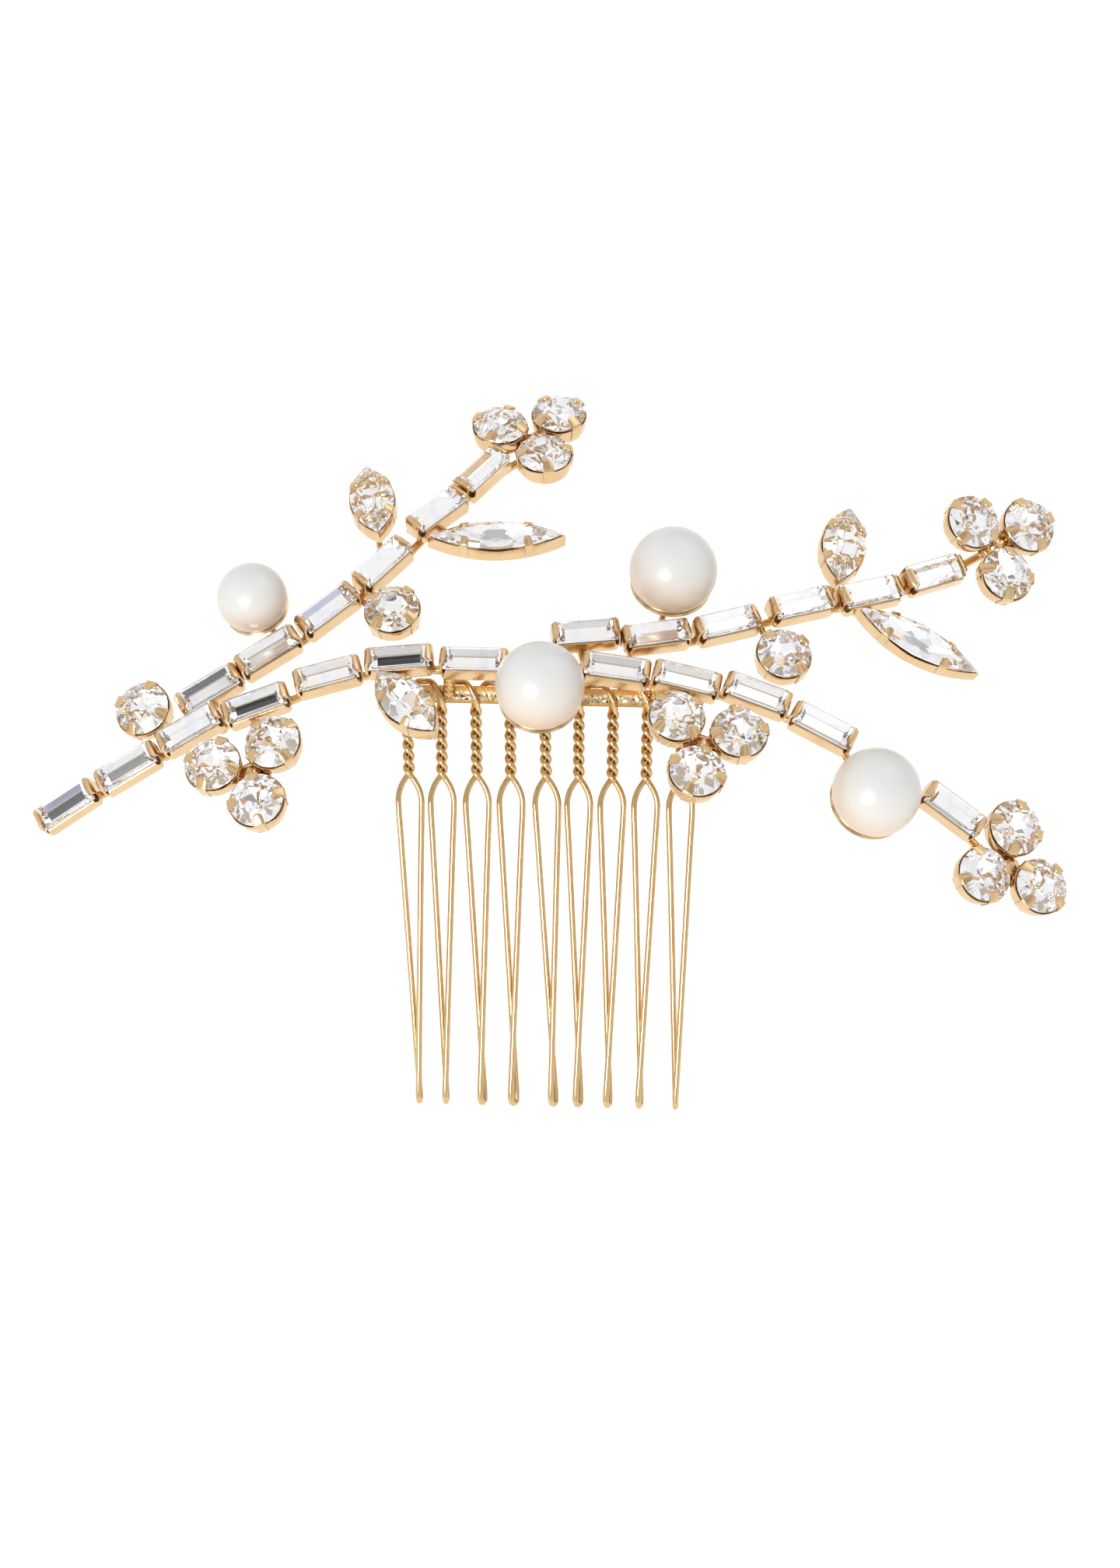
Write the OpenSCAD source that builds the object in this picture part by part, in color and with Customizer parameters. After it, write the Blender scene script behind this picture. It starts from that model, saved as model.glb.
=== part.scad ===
// Decorative hair comb: a nine-tooth twisted-wire comb with a soldered branch
// ornament of baguette, round and navette crystals and imitation pearls.
// Millimetres, +Z up, teeth pointing down, front towards -Y.
// The origin is the middle of the comb's rail.

/* [Comb] */
// Number of teeth
teeth = 9; // [7:2:9]
// Distance from one tooth to the next
tooth_pitch = 3.9; // [3.8:0.05:4.1]
// Diameter of the comb wire
wire_d = 0.7; // [0.6:0.05:0.72]
// Height of the rail
rail_h = 2; // [1.8:0.1:2.2]
// Thickness of the rail
rail_t = 0.8; // [0.6:0.05:0.9]
// Depth of a tooth's tip below the rail's middle
tooth_reach = 46.8; // [40:0.1:50]
// Full turns of twist in each tooth
twist_turns = 3; // [2:1:4]
// Depth below the rail's middle at which the twist ends
twist_end = 9.4; // [8:0.1:11]
// Half the width of a tooth's loop, from the middle to a leg's axis
loop_half_w = 1.32; // [1.1:0.01:1.4]
// How far the tips curve back towards the head
tip_back = 4; // [0:0.5:6]
// Share of their place along the rail by which the tips draw in
tip_draw = 0.06; // [0:0.01:0.1]
// How far each tip has been bent to the right, from the first tooth to the ninth
tip_drifts = [1.55, 0.9, 1.4, 1.3, 2.15, 1.3, 1, 0.95, 1.4]; // [0:0.05:3]
// How far the closed end of each tooth is turned away from the plane of the comb
tip_turns = [97, 97, 113, 124, 118, 120, 112, 106, 92]; // [60:1:130]

/* [Stones] */
// Length of a baguette stone
baguette_l = 7; // [6.8:0.1:7]
// Width of a baguette stone
baguette_w = 3; // [2.6:0.1:3]
// Diameter of a round stone
round_d = 6.2; // [5.8:0.1:6.2]
// Diameter of the large pearls
pearl_d = 10; // [9:0.1:10]
// Diameter of the small pearl
small_pearl_d = 8; // [7:0.1:8]
// Length of a short navette stone
navette_l = 10; // [9.5:0.1:10]
// Width of a short navette stone
navette_w = 5; // [4.5:0.1:5]
// Length of a long navette stone
long_navette_l = 15; // [14:0.1:15]
// Width of a long navette stone
long_navette_w = 4; // [3.6:0.1:4]

/* [Settings] */
// Wall thickness of the trays and cups
wall = 0.2; // [0.15:0.01:0.25]
// Play between a stone and its setting
play = 0.05; // [0.04:0.01:0.06]
// Depth of a tray from the stone's girdle to its back
tray_h = 2.3; // [2.1:0.1:2.4]
// Depth of a cup from the stone's girdle to its back
cup_h = 2.6; // [2.4:0.1:2.8]
// Thickness of a claw or tab
claw_t = 0.3; // [0.2:0.05:0.35]
// Width of a tray's end tab
tab_w = 1.5; // [1:0.1:2]
// Width of a round cup's claw
claw_w = 1.1; // [0.8:0.1:1.4]
// Width of a navette cup's claw
slim_claw_w = 0.9; // [0.6:0.1:1.1]
// Diameter of the stems that carry the settings
stem_d = 1; // [0.8:0.05:1.1]

/* [Shape of the ornament] */
// How far the stones stand in front of the rail
front_gap = 7; // [6.8:0.1:8]
// Backward lean of the stones in the middle, in degrees
lean_middle = 32; // [28:1:34]
// Backward lean of the stones at the two ends, in degrees
lean_ends = 15; // [12:1:18]
// Sideways turn of a stone for each millimetre from the middle, in degrees
sway_rate = 0.42; // [0.35:0.01:0.45]

/* [Hidden] */
// Half the ornament's width, where the lean has fallen to that of the ends
half_span = 56;
// Extra lean for each millimetre above the rail, in degrees
lean_rate = 0.38;
// Distance from a cluster's middle to the middle of each of its three stones
cluster_r = 4.15;
// Turn of the claws from straight outwards in a cluster, in degrees
claw_turn = -8;
curve_facets = 48;

wire_r = wire_d / 2;
stem_r = stem_d / 2;
rail_l = teeth * tooth_pitch;

GOLD = "burlywood";
CRYSTAL = "aliceblue";
PEARL = "ivory";

// Each row below places a setting on the ornament's curved front: how far it
// is across from the middle, how far up from the rail, and the angle of its
// long side (for a round one, of its claws), all as seen from the front.
main_left = [[-54, -13.5, 34], [-47, -9, 32], [-40, -4.5, 31], [-32.5, -1.5, 21],
    [-24.5, 2, 16], [-16.5, 4, 6], [-8, 4, 0]];
main_right = [[8, 3.5, -7], [16, 2.5, -12], [24, 1, -19], [31.5, -2.5, -26],
    [46.5, -11.5, -35]];
left_branch = [[-38, 0, 32], [-31.5, 4.5, 33], [-25, 9.5, 39], [-19, 15, 45],
    [-13, 21.5, 39], [-8, 26.5, 46]];
right_branch = [[4.5, 7.5, 6], [12.5, 7.5, 9], [20.5, 9, 15], [29, 11.5, 14],
    [37, 13, 14], [44.5, 15.5, 18]];

cluster_left = [-33, -9, 54];
cluster_middle = [18, -4.5, 15];
cluster_right = [53.5, -17.5, 80];
cluster_top = [-2, 31.5, 48];
cluster_upper = [52.5, 19.5, 29];

round_left = [-45.5, -2.5, 70];
round_upper = [-17.5, 9.5, 50];
round_right = [27, 5.5, 35];

navette_low = [-15.5, -1, -44];
navette_left = [-20.5, 22.5, 103];
navette_right = [34, 18.5, 81];
navette_long_left = [-6, 18.5, 2];
navette_long_right = [42.5, 7.5, -27];

pearl_centre = [-0.5, -0.5, 0];
pearl_right = [36.5, -11, 11];
pearl_left = [-33, 9.5, 0];
pearl_upper = [14, 13, 0];

// Where the two solder joints stand along the rail
solder_left_x = -10.8;
solder_right_x = 12.6;

// ---- The ornament's curved front --------------------------------------------

// 1 in the middle of the ornament, falling to 0 at its two ends
function middleness(x) = max(0, 1 - pow(x / half_span, 2));

// Backward lean and sideways turn of a setting's face
function lean(x, z) = lean_ends + (lean_middle - lean_ends + lean_rate * z) * middleness(x);
function sway(x) = sway_rate * x;

// Place of a stone's girdle, which the front's curve sets back towards its edges
function front(x, z) = [x,
    -front_gap + z * tan(lean(x, z / 2)) + x * x * sway_rate * PI / 360, z];

// The way a setting faces
function outward(x, z) = [sin(sway(x)) * cos(lean(x, z)), -cos(sway(x)) * cos(lean(x, z)),
    sin(lean(x, z))];

// A point a given depth behind the girdle of a setting
function behind(p, depth) = front(p.x, p.y) - depth * outward(p.x, p.y);

// A stone's turn in its own plane, from the angle at which the front view shows it
function turn_in_plane(p) =
    let (up = sin(p.z) / cos(lean(p.x, p.y)))
    atan2(up, (cos(p.z) + up * sin(sway(p.x)) * sin(lean(p.x, p.y))) / cos(sway(p.x)));

// Puts a piece with its girdle at z = 0, facing +Z, at its place on the ornament
module set_in(p) {
    translate(front(p.x, p.y))
        rotate([90 - lean(p.x, p.y), 0, sway(p.x)])
            rotate([0, 0, turn_in_plane(p)])
                children();
}

// Three places round a cluster's middle, each with a claw pointing outwards
module in_threes(p) {
    set_in([p.x, p.y, 0])
        for (k = [0:2])
            rotate([0, 0, p.z + 120 * k])
                translate([cluster_r, 0, 0])
                    rotate([0, 0, claw_turn])
                        children();
}

// ---- Comb ------------------------------------------------------------------

twist_top = -1.6;
twist_steps = 8 * twist_turns;
shoulder_h = 3;
bend_r = 0.6;
wrap_z = rail_h / 2 + wire_r;
wrap_y = rail_t / 2 + wire_r;

// Half of one tooth, from the top of the rail down its front to the tip
function over_rail() = [
    [-tooth_pitch / 2, 0, wrap_z + 0.05],
    [-1.55, -0.2, wrap_z + 0.07],
    [-1.15, -0.5, wrap_z - 0.01],
    [-0.82, -wrap_y + 0.02, rail_h / 2 + 0.05],
    [-0.5, -wrap_y - 0.06, 0.55],
    [-0.2, -wrap_y - 0.06, 0],
    [0.08, -wrap_y - 0.03, -0.55]];
function twist() = [for (i = [0:twist_steps])
    let (a = 360 * twist_turns * i / twist_steps - 45)
    [(wire_r + 0.01) * cos(a), (wire_r + 0.01) * sin(a),
     twist_top - (twist_end + twist_top) * i / twist_steps]];
function shoulder() = [for (s = [0.15, 0.32, 0.55, 0.8, 1])
    [0.25 + (loop_half_w - 0.25) * (1 - pow(1 - s, 2.2)), -0.25 * (1 - s), -twist_end - shoulder_h * s]];
function leg(turned) = let (
        a = [loop_half_w, 0, -twist_end - shoulder_h],
        b = [bend_r * cos(turned), -bend_r * sin(turned), bend_r - tooth_reach + wire_r])
    [for (t = [0.12, 0.3, 0.5, 0.7, 0.88, 1]) a + t * (b - a)];
function bend(turned) = [for (a = [30:30:60])
    [bend_r * cos(a) * cos(turned), -bend_r * cos(a) * sin(turned),
     -bend_r * sin(a) + bend_r - tooth_reach + wire_r]];
function half_tooth(turned) = concat(over_rail(), twist(), shoulder(), leg(turned), bend(turned));

// The other half is the same, turned half a turn about the tooth's own axis
function tooth_path(turned) = let (
        front_half = half_tooth(turned),
        n = len(front_half))
    concat(front_half, [[0, 0, wire_r - tooth_reach]],
        [for (i = [n - 1:-1:0]) [-front_half[i].x, -front_half[i].y, front_half[i].z]]);

// The whole tooth curves back, draws in and drifts to the right as it goes down
function hang(p, x, drift) = let (t = max(0, -p.z / tooth_reach))
    [x * (1 - tip_draw * t) + p.x + drift * t, p.y + tip_back * t * t, p.z];

function unit(v) = v / norm(v);

// A closed tube of n sides along a list of points
module wire(path, r, n = 6) {
    last = len(path) - 1;
    along = [for (i = [0:last]) unit(path[min(i + 1, last)] - path[max(i - 1, 0)])];
    start = unit(cross(along[0], [0, 1, 0]));
    side = [for (i = 0, u = start; i <= last;
        i = i + 1, u = i <= last ? unit(u - (u * along[i]) * along[i]) : u) u];
    points = [for (i = [0:last], k = [0:n - 1]) let (a = 360 * k / n)
        path[i] + r * (cos(a) * side[i] + sin(a) * cross(along[i], side[i]))];
    sides = [for (i = [0:last - 1], k = [0:n - 1]) let (a = i * n + k, b = i * n + (k + 1) % n)
        each [[a, a + n, b], [b, a + n, b + n]]];
    polyhedron(points, concat(sides, [[for (k = [0:n - 1]) k]],
        [[for (k = [n - 1:-1:0]) last * n + k]]));
}

module comb_rail() {
    color("goldenrod")
        rotate([90, 0, 0])
            linear_extrude(rail_t, center = true) {
                square([rail_l - rail_h, rail_h], center = true);
                for (side = [-1, 1])
                    translate([side * (rail_l - rail_h) / 2, 0])
                        circle(d = rail_h, $fn = curve_facets);
            }
}

module tooth(number) {
    x = (number - (teeth + 1) / 2) * tooth_pitch;
    color("goldenrod") 
        wire([for (p = tooth_path(tip_turns[number - 1])) hang(p, x, tip_drifts[number - 1])], wire_r);
}

// ---- Stones ----------------------------------------------------------------

// A closed stack of outlines, each a list of points with the same count
module stack(outlines, heights) {
    n = len(outlines[0]);
    top = len(outlines) - 1;
    points = [for (i = [0:top], p = outlines[i]) [p.x, p.y, heights[i]]];
    sides = [for (i = [0:top - 1], k = [0:n - 1]) let (a = i * n + k, b = i * n + (k + 1) % n)
        each [[a, a + n, b], [b, a + n, b + n]]];
    polyhedron(points, concat(sides, [[for (k = [0:n - 1]) k]],
        [[for (k = [n - 1:-1:0]) top * n + k]]));
}

function oblong(l, w) = [[l, w], [-l, w], [-l, -w], [l, -w]] / 2;
function ring(r, n = 12) = [for (k = [0:n - 1]) r * [cos(360 * k / n), sin(360 * k / n)]];

// Half of a pointed oval: an arc from one tip to the other
function oval_side(l, w, n) = let (
        r = (l * l + w * w) / (4 * w),
        reach = asin(l / 2 / r))
    [for (k = [0:n - 1]) let (a = reach * (1 - 2 * k / n)) [r * sin(a), r * cos(a) - r + w / 2]];
function pointed_oval(l, w, n = 8) = concat(oval_side(l, w, n), -oval_side(l, w, n));

girdle = 0.1;
baguette_table = 0.9;
round_table = 1.1;
round_table_r = 1.65;

module baguette_stone() {
    stack([oblong(baguette_l - 1.8, 0.5), oblong(baguette_l, baguette_w),
           oblong(baguette_l, baguette_w), oblong(baguette_l - 1.6, baguette_w - 1.6)],
          [-1.5, -girdle, girdle, baguette_table]);
}

module round_stone() {
    stack([ring(0.2), ring(round_d / 2), ring(round_d / 2), ring(round_table_r)],
          [-1.9, -girdle, girdle, round_table]);
}

module navette_stone(l, w) {
    stack([pointed_oval(l / 3, w / 8), pointed_oval(l, w), pointed_oval(l, w),
           pointed_oval(l * 0.55, w * 0.5)],
          [-1.6, -girdle, girdle, 1]);
}

module baguette_stones(row) { color(CRYSTAL) for (p = row) set_in(p) baguette_stone(); }
module cluster_stones(p) { color(CRYSTAL) in_threes(p) round_stone(); }
module single_stone(p) { color(CRYSTAL) set_in(p) round_stone(); }
module navette(p, l, w) { color(CRYSTAL) set_in(p) navette_stone(l, w); }

// ---- Settings --------------------------------------------------------------

// A claw or tab: a strip up a setting's wall at x = reach, folded over the crown
module fold(reach, w, slope, over) {
    translate([reach - 0.1, -w / 2, -1.6]) cube([claw_t, w, 1.75]);
    translate([reach + claw_t - 0.1, 0, 0])
        rotate([0, slope, 0]) {
            translate([-over, -w / 2, 0]) cube([over, w, claw_t * 0.8]);
            translate([-over, 0, 0]) cylinder(h = claw_t * 0.8, d = w, $fn = curve_facets);
        }
}

module tray() {
    l = baguette_l + 2 * play;
    w = baguette_w + 2 * play;
    difference() {
        translate([-l / 2 - wall, -w / 2 - wall, -tray_h])
            cube([l + 2 * wall, w + 2 * wall, tray_h]);
        translate([-l / 2, -w / 2, -tray_h + 2 * wall]) cube([l, w, tray_h]);
    }
    for (end = [0, 180])
        rotate([0, 0, end]) fold(l / 2 + wall, tab_w, 45, 0.45);
}

// A round cup is straight at its rim and draws in to a flat foot
cup_draw = 0.75;
module round_cup() {
    inner = round_d / 2 + play;
    outer = inner + wall;
    rotate_extrude($fn = curve_facets)
        polygon([[0, -cup_h], [outer - cup_draw, -cup_h], [outer - cup_draw / 3, -cup_h * 0.8],
                 [outer, -cup_h / 2], [outer, 0], [inner, 0], [inner, -cup_h / 2],
                 [inner - cup_draw, 2 * wall - cup_h], [0, 2 * wall - cup_h]]);
    for (quarter = [0:90:270])
        rotate([0, 0, quarter]) fold(inner + wall, claw_w, 34.6, 0.75);
}

// Claws of a pointed setting stand in pairs, this far each way along it
module navette_cup(l, w, claw_x) {
    r = (l * l + w * w) / (4 * w) + play;
    inner_l = l + 4 * play;
    inner_w = w + 2 * play;
    difference() {
        translate([0, 0, -tray_h])
            linear_extrude(tray_h) polygon(pointed_oval(inner_l + 6 * wall, inner_w + 2 * wall));
        translate([0, 0, 2 * wall - tray_h])
            linear_extrude(tray_h) polygon(pointed_oval(inner_l, inner_w));
    }
    tilt = asin(claw_x / r);
    for (half = [0, 180], side = [-1, 1])
        rotate([0, 0, half])
            translate([0, w / 2 - r, 0])
                rotate([0, 0, 90 + side * tilt])
                    fold(r + play + wall, slim_claw_w, 38, 0.45);
}

module trays(row) { color(GOLD) for (p = row) set_in(p) tray(); }
module single_cup(p) { color(GOLD) set_in(p) round_cup(); }
module navette_setting(p, l, w, claw_x) { color(GOLD) set_in(p) navette_cup(l, w, claw_x); }

plate_t = 0.4;
module cluster_cups(p) {
    color(GOLD) {
        in_threes(p) round_cup();
        set_in([p.x, p.y, 0])
            translate([0, 0, -cup_h - plate_t]) cylinder(h = plate_t, r = 2.4, $fn = curve_facets);
    }
}

// ---- Pearls ----------------------------------------------------------------

dish_t = 0.4;
// Height of a pearl's middle over the girdle level of the stones round it
function pearl_rise(d) = d / 2 + play + dish_t - cup_h;

module bead(p, d) {
    color(PEARL) set_in(p) translate([0, 0, pearl_rise(d)]) sphere(d = d, $fn = curve_facets);
}

// A dish that holds the back of a pearl, with a flat foot
module dish(d) {
    middle = pearl_rise(d);
    rim = middle - d * 0.26;
    difference() {
        intersection() {
            translate([0, 0, middle])
                sphere(r = d / 2 + play + dish_t, $fn = curve_facets);
            translate([-d, -d, -cup_h]) cube([2 * d, 2 * d, rim + cup_h]);
        }
        translate([0, 0, middle]) sphere(r = d / 2 + play, $fn = curve_facets);
    }
    translate([0, 0, -cup_h])
        difference() {
            cylinder(h = 1, r = 2, $fn = curve_facets);
            translate([0, 0, middle + cup_h]) sphere(r = d / 2 + play, $fn = curve_facets);
        }
}

module pearl_cup(p, d) { color(GOLD) set_in(p) dish(d); }

// The right pearl's dish has two claw tips that show past the pearl
module clawed_pearl_cup(p, d) {
    reach = d / 2 + play;
    color(GOLD) set_in(p) {
        dish(d);
        for (claw = [0, 90])
            rotate([0, 0, claw])
                difference() {
                    translate([reach - 0.8, -0.6, -0.6]) cube([1.2, 1.2, pearl_rise(d) + 1.2]);
                    translate([0, 0, pearl_rise(d)]) sphere(r = reach, $fn = curve_facets);
                }
    }
}

// ---- Stems and solder --------------------------------------------------------

stem_back = tray_h + stem_r + 0.02;
cup_back = cup_h + stem_r + 0.02;
plate_back = cup_back + plate_t;

module rod(a, b, r) {
    v = b - a;
    translate(a)
        rotate([0, acos(v.z / norm(v)), atan2(v.y, v.x)])
            cylinder(h = norm(v), r = r, $fn = 24);
}

function under_row(row) = [for (p = row) behind(p, stem_back)];
function between(a, b, share = 0.5) = a + share * (b - a);

// A stem runs through a list of points, and a twig leaves it for one setting
module stem(path) { wire(path, stem_r, 8); }
twig_r = 0.4;
module twig(from, to) { wire([from, to], twig_r); }

// The stems meet behind the centre pearl, end to end
stem_meet = behind([0, 3.8], stem_back + 0.3);
left_end = stem_meet - [stem_r, 0, 0];
right_end = stem_meet + [stem_r + 0.05, 0, 0];

left_line = under_row(main_left);
right_line = under_row(main_right);
left_branch_line = under_row(left_branch);
right_branch_line = under_row(right_branch);

module stem_main_left() {
    color(GOLD) {
        stem(concat(left_line, [left_end]));
        twig(between(left_line[1], left_line[2]), behind(round_left, cup_back));
        twig(left_line[3], behind(cluster_left, plate_back));
        twig(left_line[5], behind(navette_low, stem_back));
    }
}

module stem_main_right() {
    color(GOLD) {
        stem([right_end, right_line[0], right_line[1], right_line[2], right_line[3],
              behind([34.5, -4.2], stem_back), behind(pearl_right, cup_back),
              behind([43.6, -9.4], stem_back), right_line[4],
              behind(cluster_right, plate_back)]);
        twig(right_end, behind(pearl_centre, cup_back));
        twig(right_line[1], behind(cluster_middle, plate_back));
    }
}

root_left_at = between(left_line[2], left_line[3], 0.4);
root_right_at = between(right_end, right_line[0], 0.55);
left_foot = between(root_left_at, left_branch_line[0], 0.3);
right_foot = between(root_right_at, right_branch_line[0], 0.35);

module stem_left_branch() {
    color(GOLD) {
        stem(concat([left_foot], left_branch_line, [behind(cluster_top, plate_back)]));
        twig(between(left_branch_line[1], left_branch_line[2], 0.3), behind(pearl_left, cup_back));
        twig(between(left_branch_line[2], left_branch_line[3]), behind(round_upper, cup_back));
        twig(left_branch_line[3], behind(navette_left, stem_back));
        twig(left_branch_line[4], behind(navette_long_left - [4, 0, 0], stem_back));
    }
}

module stem_right_branch() {
    color(GOLD) {
        stem(concat([right_foot], right_branch_line, [behind(cluster_upper, plate_back)]));
        twig(right_branch_line[1], behind(pearl_upper, cup_back));
        twig(between(right_branch_line[2], right_branch_line[3]), behind(round_right, cup_back));
        twig(between(right_branch_line[3], right_branch_line[4]), behind(navette_right, stem_back));
        twig(right_branch_line[4], behind(navette_long_right - [3.5, -1.8, 0], stem_back));
    }
}

// Solder between the rail's front and the main stem, cut to fit both
module solder(x, stem_a, stem_b) {
    at = between(stem_a, stem_b, (x - stem_a.x) / (stem_b.x - stem_a.x));
    foot = [x, 0, 0];
    color("goldenrod")
        difference() {
            rod(foot, at + 0.12 * (at - foot), 0.8);
            translate([x - 3, -rail_t / 2, -3]) cube([6, 6, 6]);
            stem([stem_a, stem_b]);
        }
}

// Solder where a branch leaves the main stem
module root(main_a, main_b, main_at, foot, branch_a, r) {
    color("goldenrod")
        difference() {
            translate(between(main_at, foot)) sphere(r = r, $fn = 24);
            stem([main_a, main_b]);
            stem([foot, branch_a]);
        }
}

// ---- The pieces --------------------------------------------------------------

comb_rail();
for (i = [1:teeth])
    tooth(i);

solder(solder_left_x, left_line[5], left_line[6]);  // solder_left
solder(solder_right_x, right_line[0], right_line[1]);  // solder_right
root(left_line[2], left_line[3], root_left_at, left_foot, left_branch_line[0], 0.9);  // root_left
root(right_end, right_line[0], root_right_at, right_foot, right_branch_line[0], 1.1);  // root_right
stem_main_left();
stem_main_right();
stem_left_branch();
stem_right_branch();

trays(main_left);  // main_left_trays
baguette_stones(main_left);  // main_left_stones
trays(main_right);  // main_right_trays
baguette_stones(main_right);  // main_right_stones
trays(left_branch);  // left_branch_trays
baguette_stones(left_branch);  // left_branch_stones
trays(right_branch);  // right_branch_trays
baguette_stones(right_branch);  // right_branch_stones

cluster_cups(cluster_left);  // cluster_left_cups
cluster_stones(cluster_left);  // cluster_left_stones
cluster_cups(cluster_middle);  // cluster_middle_cups
cluster_stones(cluster_middle);  // cluster_middle_stones
cluster_cups(cluster_right);  // cluster_right_cups
cluster_stones(cluster_right);  // cluster_right_stones
cluster_cups(cluster_top);  // cluster_top_cups
cluster_stones(cluster_top);  // cluster_top_stones
cluster_cups(cluster_upper);  // cluster_upper_cups
cluster_stones(cluster_upper);  // cluster_upper_stones

single_cup(round_left);  // round_left_cup
single_stone(round_left);  // round_left_stone
single_cup(round_upper);  // round_upper_cup
single_stone(round_upper);  // round_upper_stone
single_cup(round_right);  // round_right_cup
single_stone(round_right);  // round_right_stone

navette_setting(navette_low, navette_l, navette_w, 2.4);  // navette_low_cup
navette(navette_low, navette_l, navette_w);  // navette_low_stone
navette_setting(navette_left, navette_l, navette_w, 2.4);  // navette_left_cup
navette(navette_left, navette_l, navette_w);  // navette_left_stone
navette_setting(navette_right, navette_l, navette_w, 2.4);  // navette_right_cup
navette(navette_right, navette_l, navette_w);  // navette_right_stone
navette_setting(navette_long_left, long_navette_l, long_navette_w, 3.7);  // navette_long_left_cup
navette(navette_long_left, long_navette_l, long_navette_w);  // navette_long_left_stone
navette_setting(navette_long_right, long_navette_l, long_navette_w, 3.7);  // navette_long_right_cup
navette(navette_long_right, long_navette_l, long_navette_w);  // navette_long_right_stone

pearl_cup(pearl_centre, pearl_d);  // pearl_centre_cup
bead(pearl_centre, pearl_d);  // pearl_centre_bead
clawed_pearl_cup(pearl_right, pearl_d);  // pearl_right_cup
bead(pearl_right, pearl_d);  // pearl_right_bead
pearl_cup(pearl_left, small_pearl_d);  // pearl_left_cup
bead(pearl_left, small_pearl_d);  // pearl_left_bead
pearl_cup(pearl_upper, pearl_d);  // pearl_upper_cup
bead(pearl_upper, pearl_d);  // pearl_upper_bead
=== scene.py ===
# %% [markdown]
# # A decorative hair comb in plated wire, crystal and pearl
#
# The real thing is jewellery in miniature. Nine twisted wire teeth hang from a
# flat rail, and a spray of 47 crystals and 4 pearls is soldered to the front of
# it. Every stone sits in its own stamped setting. The CAD model already holds
# each piece in its right place as a plain solid. This lesson makes the finished
# piece for each of them, in the same frame, and hides the plain solid.

# %% Load the comb's frame
import math

import bmesh
import bpy
from mathutils import Matrix, Vector, noise


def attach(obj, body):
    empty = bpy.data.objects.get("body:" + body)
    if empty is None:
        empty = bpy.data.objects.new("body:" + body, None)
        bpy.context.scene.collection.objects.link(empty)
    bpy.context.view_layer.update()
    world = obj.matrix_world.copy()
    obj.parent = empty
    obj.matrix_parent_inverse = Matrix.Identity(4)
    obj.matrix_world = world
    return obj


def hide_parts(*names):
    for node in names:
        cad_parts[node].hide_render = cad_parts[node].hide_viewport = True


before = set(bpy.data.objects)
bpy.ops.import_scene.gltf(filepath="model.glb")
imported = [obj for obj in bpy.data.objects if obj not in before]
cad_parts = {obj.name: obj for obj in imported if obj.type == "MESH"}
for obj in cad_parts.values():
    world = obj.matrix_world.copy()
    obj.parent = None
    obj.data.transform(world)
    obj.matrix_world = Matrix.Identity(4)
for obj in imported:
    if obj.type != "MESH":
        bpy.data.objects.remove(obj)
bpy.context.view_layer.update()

# %% [markdown]
# ## Where the settings go
#
# Seen from the front, the ornament is a flat drawing of sprays. In space it is
# gently curved to follow a head: stones in the middle lean back more than the
# ones at the ends, and each one turns a little outwards. The CAD model places
# its solids with a few formulas in millimetres, and the same formulas are
# repeated here, so that each finished piece lands on its own solid.

# %% The curved front of the ornament
HALF_SPAN = 56
LEAN_MIDDLE, LEAN_ENDS, LEAN_RATE = 32, 15, 0.38
SWAY_RATE = 0.42
FRONT_GAP = 7

def middleness(x):
    return max(0, 1 - (x / HALF_SPAN) ** 2)

def lean(x, z):
    return math.radians(LEAN_ENDS + (LEAN_MIDDLE - LEAN_ENDS + LEAN_RATE * z) * middleness(x))

def sway(x):
    return math.radians(SWAY_RATE * x)

def front(x, z):
    bow = x * x * SWAY_RATE * math.pi / 360
    return Vector((x, -FRONT_GAP + z * math.tan(lean(x, z / 2)) + bow, z))

def behind(x, z, depth):
    outward = Vector((math.sin(sway(x)) * math.cos(lean(x, z)),
                      -math.cos(sway(x)) * math.cos(lean(x, z)), math.sin(lean(x, z))))
    return front(x, z) - depth * outward

def turn(axis, angle):
    return Matrix.Rotation(angle, 4, axis)

def shift(x, y, z):
    return Matrix.Translation((x, y, z))

def place(x, z, angle=0):
    """The matrix that sets a piece, made lying flat and facing +Z, in its place."""
    tilt, yaw, seen = lean(x, z), sway(x), math.radians(angle)
    up = math.sin(seen) / math.cos(tilt)
    flat = math.atan2(up, (math.cos(seen) + up * math.sin(yaw) * math.sin(tilt)) / math.cos(yaw))
    return (Matrix.Translation(front(x, z)) @ turn("Z", yaw)
            @ turn("X", math.pi / 2 - tilt) @ turn("Z", flat))

# %% [markdown]
# ## The list of settings
#
# Each row says how far a setting is across from the middle, how far up from the
# rail, and the angle at which its long side is seen, in millimetres and degrees.
# Long baguettes run along four sprays like beads on a stem. Round stones come in
# threes, like berries, or alone, and pointed navettes stand out like leaves.

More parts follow.
